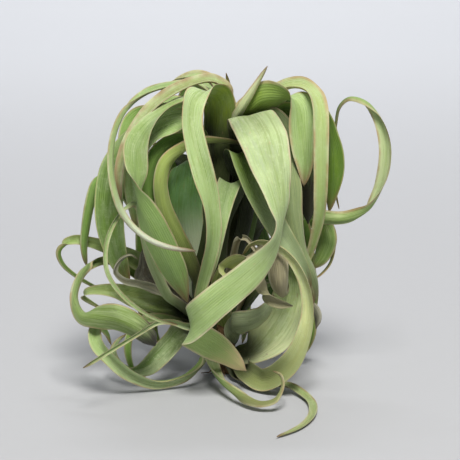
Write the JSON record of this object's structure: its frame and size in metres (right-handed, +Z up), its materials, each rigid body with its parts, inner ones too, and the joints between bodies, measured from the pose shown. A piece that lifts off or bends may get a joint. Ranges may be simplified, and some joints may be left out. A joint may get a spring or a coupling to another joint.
{
  "type": "air plant",
  "caption": "Curly air plant: a rosette of channelled strap leaves that arch over and curl under, on a short woody stem, picked and standing on a surface",
  "frame": {"origin": "middle of the flat underside of the root stub, on the surface that the plant rests on", "axes": "+Z up, -Y the front as pictured, +X to the right of that front"},
  "size_m": [0.1328, 0.1418, 0.1266],
  "materials": {
    "leaf_pale": "matte, frosted with fine pale scales",
    "leaf_green": "matte, frosted with fine pale scales",
    "leaf_deep": "matte, less frosted",
    "leaf_yellow": "matte",
    "leaf_dry_tan": "dry, fibrous",
    "leaf_dry_grey": "dry, fibrous",
    "leaf_dry_dark": "dry, withered",
    "stem_bark": "rough, woody"
  },
  "bodies": {
    "root": {"stem": "stem_bark", "leaf_front_sweep": "leaf_pale", "leaf_front_strap": "leaf_pale", "leaf_left_sash": "leaf_pale", "leaf_left_inner": "leaf_green", "leaf_rim_left": "leaf_green", "leaf_thin_bow": "leaf_green", "leaf_inner_arch": "leaf_yellow", "leaf_inner_left": "leaf_deep", "leaf_inner_spoon": "leaf_deep", "leaf_inner_blunt": "leaf_green", "leaf_shadow_strap": "leaf_deep", "leaf_right_apron": "leaf_green", "leaf_right_inner": "leaf_deep", "leaf_crown_right": "leaf_pale", "leaf_right_strap": "leaf_pale", "leaf_right_shadow": "leaf_deep", "leaf_right_loop": "leaf_pale", "leaf_right_low": "leaf_green", "leaf_right_wire": "leaf_yellow", "leaf_cup": "leaf_pale", "leaf_rim_right": "leaf_green", "leaf_trailing": "leaf_green", "leaf_low_loop_right": "leaf_green", "leaf_low_loop_left": "leaf_pale", "leaf_low_strap": "leaf_green", "leaf_low_wisp": "leaf_green", "leaf_rolled": "leaf_yellow", "leaf_left_hook": "leaf_green", "leaf_left_loop": "leaf_green", "leaf_left_drop": "leaf_green", "leaf_left_broad": "leaf_deep", "leaf_back_left": "leaf_pale", "leaf_crown_left": "leaf_green", "leaf_crown_back": "leaf_green", "leaf_young_spike": "leaf_yellow", "leaf_young_tip": "leaf_yellow", "leaf_thin_ring": "leaf_green", "leaf_straight_blade": "leaf_pale", "dry_leaf_dark": "leaf_dry_dark", "dry_leaf_curl": "leaf_dry_tan", "dry_leaf_tan": "leaf_dry_tan", "dry_leaf_whisker": "leaf_dry_tan", "leaf_yellow_arch": "leaf_yellow", "leaf_short_dull": "leaf_green", "dry_leaf_flake": "leaf_dry_grey", "leaf_back_1": "leaf_pale", "leaf_back_2": "leaf_green", "leaf_back_3": "leaf_deep", "leaf_back_4": "leaf_green", "leaf_back_5": "leaf_pale", "leaf_back_6": "leaf_green", "leaf_back_7": "leaf_yellow", "leaf_back_8": "leaf_green", "leaf_back_9": "leaf_pale", "leaf_back_10": "leaf_green", "leaf_back_11": "leaf_green", "leaf_back_12": "leaf_deep", "leaf_back_13": "leaf_green", "leaf_back_14": "leaf_yellow"}
  },
  "joints": []
}
